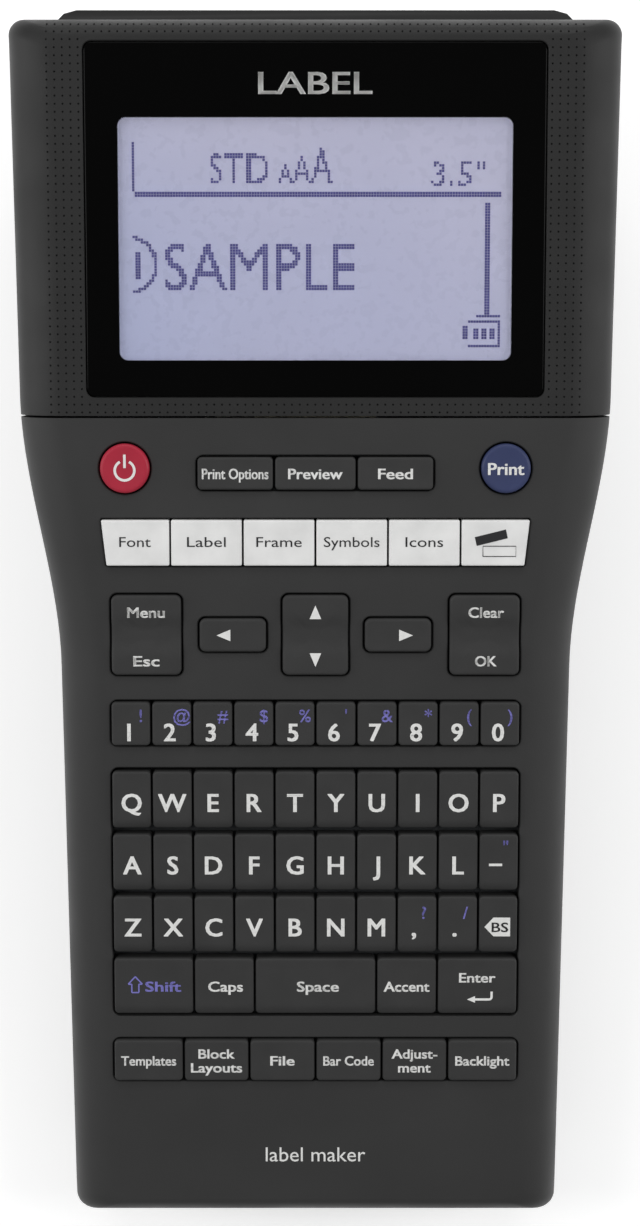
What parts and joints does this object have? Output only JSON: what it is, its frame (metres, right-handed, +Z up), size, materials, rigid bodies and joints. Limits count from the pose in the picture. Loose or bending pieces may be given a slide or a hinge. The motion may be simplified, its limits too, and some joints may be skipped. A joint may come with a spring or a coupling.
{
  "type": "label maker",
  "caption": "Handheld label printer with a keyboard handle, a wide display head, a tape cassette bay under the head and round cells in the handle.",
  "frame": {"origin": "bottom centre of the object's box, on the surface it lies on", "axes": "+Y from the palm end to the head end, +Z up from the table through the face, +X to the user's right"},
  "size_m": [0.118, 0.2379, 0.0754],
  "materials": {
    "front_plastic": "satin moulded",
    "surround_plastic": "satin moulded, dimpled",
    "window_gloss": "polished",
    "rear_plastic": "satin moulded",
    "steel": "brushed",
    "foot_rubber": "matte",
    "display": "lit lavender",
    "light_guide": "clear white",
    "frame_plastic": "moulded",
    "board": "solder mask",
    "mat_rubber": "matte",
    "ribbon": "satin",
    "jack_plastic": "moulded",
    "cell_sleeve": "gloss sleeve",
    "ceramic": "glazed",
    "motor_can": "drawn",
    "brass": "cut",
    "gear_plastic": "moulded",
    "cassette_plastic": "moulded",
    "tape": "wound film",
    "red_key": "satin",
    "blue_key": "satin",
    "white_key": "satin",
    "key_rubber": "satin"
  },
  "bodies": {
    "case": {"front_case": "front_plastic", "display_surround": "surround_plastic", "display_window": "window_gloss", "rear_case": "rear_plastic", "case_screws": "steel", "rubber_feet": "foot_rubber", "lcd_panel": "display", "backlight_panel": "light_guide", "lcd_frame": "frame_plastic", "main_board": "board", "key_board": "board", "keypad_mat": "mat_rubber", "ribbon_cable": "ribbon", "usb_socket": "steel", "power_jack": "jack_plastic", "battery_cells": "cell_sleeve", "battery_contacts": "steel", "mechanism_plate": "steel", "print_head": "ceramic", "feed_motor": "motor_can", "cutter_motor": "motor_can", "cutter_guide": "steel", "tape_cassette": "cassette_plastic"},
    "back_cover": {"back_cover": "rear_plastic"},
    "battery_cover": {"battery_cover": "rear_plastic"},
    "platen_arm": {"platen_arm": "steel"},
    "platen_roller": {"platen_roller": "foot_rubber"},
    "motor_pinion": {"motor_pinion": "brass"},
    "idler_gear": {"idler_gear": "gear_plastic"},
    "feed_gear": {"feed_gear": "gear_plastic"},
    "ribbon_gear": {"ribbon_gear": "gear_plastic"},
    "cutter_pinion": {"cutter_pinion": "brass"},
    "cutter_blade": {"cutter_blade": "steel"},
    "tape_roll": {"tape_roll": "tape"},
    "power_key": {"power_key": "red_key"},
    "print_key": {"print_key": "blue_key"},
    "print_options_key": {"print_options_key": "key_rubber"},
    "preview_key": {"preview_key": "key_rubber"},
    "feed_key": {"feed_key": "key_rubber"},
    "font_key": {"font_key": "white_key"},
    "label_key": {"label_key": "white_key"},
    "frame_key": {"frame_key": "white_key"},
    "symbols_key": {"symbols_key": "white_key"},
    "icons_key": {"icons_key": "white_key"},
    "collection_key": {"collection_key": "white_key"},
    "menu_esc_key": {"menu_esc_key": "key_rubber"},
    "up_down_key": {"up_down_key": "key_rubber"},
    "clear_ok_key": {"clear_ok_key": "key_rubber"},
    "left_key": {"left_key": "key_rubber"},
    "right_key": {"right_key": "key_rubber"},
    "number_keys": {"number_keys": "key_rubber"},
    "letter_keys_top": {"letter_keys_top": "key_rubber"},
    "letter_keys_middle": {"letter_keys_middle": "key_rubber"},
    "letter_keys_bottom": {"letter_keys_bottom": "key_rubber"},
    "shift_key": {"shift_key": "key_rubber"},
    "caps_key": {"caps_key": "key_rubber"},
    "space_key": {"space_key": "key_rubber"},
    "accent_key": {"accent_key": "key_rubber"},
    "enter_key": {"enter_key": "key_rubber"},
    "function_keys": {"function_keys": "key_rubber"}
  },
  "joints": [
    {"name": "cover_hinge", "type": "hinge", "parent": "case", "child": "back_cover", "pos_m": [0, 0.03212, 0.0031], "axis": [-1, 0, 0], "range_deg": [0, 90]},
    {"name": "battery_cover_hinge", "type": "hinge", "parent": "case", "child": "battery_cover", "pos_m": [0, 0.00816, 0.02473], "axis": [1, 0, 0], "range_deg": [0, 90]},
    {"name": "platen_release", "type": "hinge", "parent": "case", "child": "platen_arm", "pos_m": [0.01, 0.10072, 0.03], "axis": [0, 0, -1], "range_deg": [0, 8]},
    {"name": "idler_spin", "type": "hinge", "parent": "case", "child": "idler_gear", "pos_m": [0.002, 0.07172, 0.037], "axis": [0, 0, 1], "continuous": true},
    {"name": "cutter_drive", "type": "hinge", "parent": "case", "child": "cutter_pinion", "pos_m": [-0.04735, 0.09972, 0.015], "axis": [0, 0, -1], "range_deg": [0, 60]},
    {"name": "blade_slide", "type": "slide", "parent": "case", "child": "cutter_blade", "axis": [0, -1, 0], "range_m": [0, 0.005]},
    {"name": "feed_spin", "type": "hinge", "parent": "case", "child": "feed_gear", "pos_m": [-0.02065, 0.07997, 0.037], "axis": [0, 0, 1], "continuous": true},
    {"name": "ribbon_spin", "type": "hinge", "parent": "case", "child": "ribbon_gear", "pos_m": [-0.0132, 0.05002, 0.037], "axis": [0, 0, 1], "continuous": true},
    {"name": "pinion_spin", "type": "hinge", "parent": "case", "child": "motor_pinion", "pos_m": [0.01949, 0.07988, 0.037], "axis": [0, 0, 1], "continuous": true},
    {"name": "roller_spin", "type": "hinge", "parent": "platen_arm", "child": "platen_roller", "pos_m": [-0.019, 0.09532, 0.015], "axis": [0, 0, 1], "continuous": true},
    {"name": "tape_roll_spin", "type": "hinge", "parent": "case", "child": "tape_roll", "pos_m": [0.0179, 0.06212, 0.015], "axis": [0, 0, 1], "continuous": true},
    {"name": "menu_esc_rock", "type": "hinge", "parent": "case", "child": "menu_esc_key", "pos_m": [-0.033, -0.00316, 0.05462], "axis": [1, 0, 0], "range_deg": [-3, 3], "stiffness_Nm_per_rad": 0.05},
    {"name": "up_down_rock", "type": "hinge", "parent": "case", "child": "up_down_key", "pos_m": [0, -0.00316, 0.05462], "axis": [1, 0, 0], "range_deg": [-3, 3], "stiffness_Nm_per_rad": 0.05},
    {"name": "clear_ok_rock", "type": "hinge", "parent": "case", "child": "clear_ok_key", "pos_m": [0.033, -0.00316, 0.05462], "axis": [1, 0, 0], "range_deg": [-3, 3], "stiffness_Nm_per_rad": 0.05},
    {"name": "power_press", "type": "slide", "parent": "case", "child": "power_key", "axis": [0, 0.1736, -0.9848], "range_m": [0, 0.001], "stiffness_N_per_m": 200},
    {"name": "print_press", "type": "slide", "parent": "case", "child": "print_key", "axis": [0, 0.1736, -0.9848], "range_m": [0, 0.001], "stiffness_N_per_m": 200},
    {"name": "print_options_press", "type": "slide", "parent": "case", "child": "print_options_key", "axis": [0, 0.1736, -0.9848], "range_m": [0, 0.001], "stiffness_N_per_m": 200},
    {"name": "preview_press", "type": "slide", "parent": "case", "child": "preview_key", "axis": [0, 0.1736, -0.9848], "range_m": [0, 0.001], "stiffness_N_per_m": 200},
    {"name": "feed_press", "type": "slide", "parent": "case", "child": "feed_key", "axis": [0, 0.1736, -0.9848], "range_m": [0, 0.001], "stiffness_N_per_m": 200},
    {"name": "font_press", "type": "slide", "parent": "case", "child": "font_key", "axis": [0, 0.1736, -0.9848], "range_m": [0, 0.001], "stiffness_N_per_m": 200},
    {"name": "label_press", "type": "slide", "parent": "case", "child": "label_key", "axis": [0, 0.1736, -0.9848], "range_m": [0, 0.001], "stiffness_N_per_m": 200},
    {"name": "frame_press", "type": "slide", "parent": "case", "child": "frame_key", "axis": [0, 0.1736, -0.9848], "range_m": [0, 0.001], "stiffness_N_per_m": 200},
    {"name": "symbols_press", "type": "slide", "parent": "case", "child": "symbols_key", "axis": [0, 0.1736, -0.9848], "range_m": [0, 0.001], "stiffness_N_per_m": 200},
    {"name": "icons_press", "type": "slide", "parent": "case", "child": "icons_key", "axis": [0, 0.1736, -0.9848], "range_m": [0, 0.001], "stiffness_N_per_m": 200},
    {"name": "collection_press", "type": "slide", "parent": "case", "child": "collection_key", "axis": [0, 0.1736, -0.9848], "range_m": [0, 0.001], "stiffness_N_per_m": 200},
    {"name": "left_press", "type": "slide", "parent": "case", "child": "left_key", "axis": [0, 0.1736, -0.9848], "range_m": [0, 0.001], "stiffness_N_per_m": 200},
    {"name": "right_press", "type": "slide", "parent": "case", "child": "right_key", "axis": [0, 0.1736, -0.9848], "range_m": [0, 0.001], "stiffness_N_per_m": 200},
    {"name": "number_press", "type": "slide", "parent": "case", "child": "number_keys", "axis": [0, 0.1736, -0.9848], "range_m": [0, 0.001], "stiffness_N_per_m": 600},
    {"name": "letter_press_top", "type": "slide", "parent": "case", "child": "letter_keys_top", "axis": [0, 0.1736, -0.9848], "range_m": [0, 0.001], "stiffness_N_per_m": 600},
    {"name": "letter_press_middle", "type": "slide", "parent": "case", "child": "letter_keys_middle", "axis": [0, 0.1736, -0.9848], "range_m": [0, 0.001], "stiffness_N_per_m": 600},
    {"name": "letter_press_bottom", "type": "slide", "parent": "case", "child": "letter_keys_bottom", "axis": [0, 0.1736, -0.9848], "range_m": [0, 0.001], "stiffness_N_per_m": 600},
    {"name": "shift_press", "type": "slide", "parent": "case", "child": "shift_key", "axis": [0, 0.1736, -0.9848], "range_m": [0, 0.001], "stiffness_N_per_m": 200},
    {"name": "caps_press", "type": "slide", "parent": "case", "child": "caps_key", "axis": [0, 0.1736, -0.9848], "range_m": [0, 0.001], "stiffness_N_per_m": 200},
    {"name": "space_press", "type": "slide", "parent": "case", "child": "space_key", "axis": [0, 0.1736, -0.9848], "range_m": [0, 0.001], "stiffness_N_per_m": 200},
    {"name": "accent_press", "type": "slide", "parent": "case", "child": "accent_key", "axis": [0, 0.1736, -0.9848], "range_m": [0, 0.001], "stiffness_N_per_m": 200},
    {"name": "enter_press", "type": "slide", "parent": "case", "child": "enter_key", "axis": [0, 0.1736, -0.9848], "range_m": [0, 0.001], "stiffness_N_per_m": 200},
    {"name": "function_press", "type": "slide", "parent": "case", "child": "function_keys", "axis": [0, 0.1736, -0.9848], "range_m": [0, 0.001], "stiffness_N_per_m": 600}
  ],
  "couplings": [
    {"joint": "feed_spin", "follows": "idler_spin", "ratio": -1.5},
    {"joint": "ribbon_spin", "follows": "idler_spin", "ratio": -1.2},
    {"joint": "pinion_spin", "follows": "idler_spin", "ratio": -3},
    {"joint": "roller_spin", "follows": "idler_spin", "ratio": -1.5},
    {"joint": "tape_roll_spin", "follows": "idler_spin", "ratio": 0.26087},
    {"joint": "cutter_drive", "follows": "blade_slide", "rad_per_m": 208.33}
  ]
}
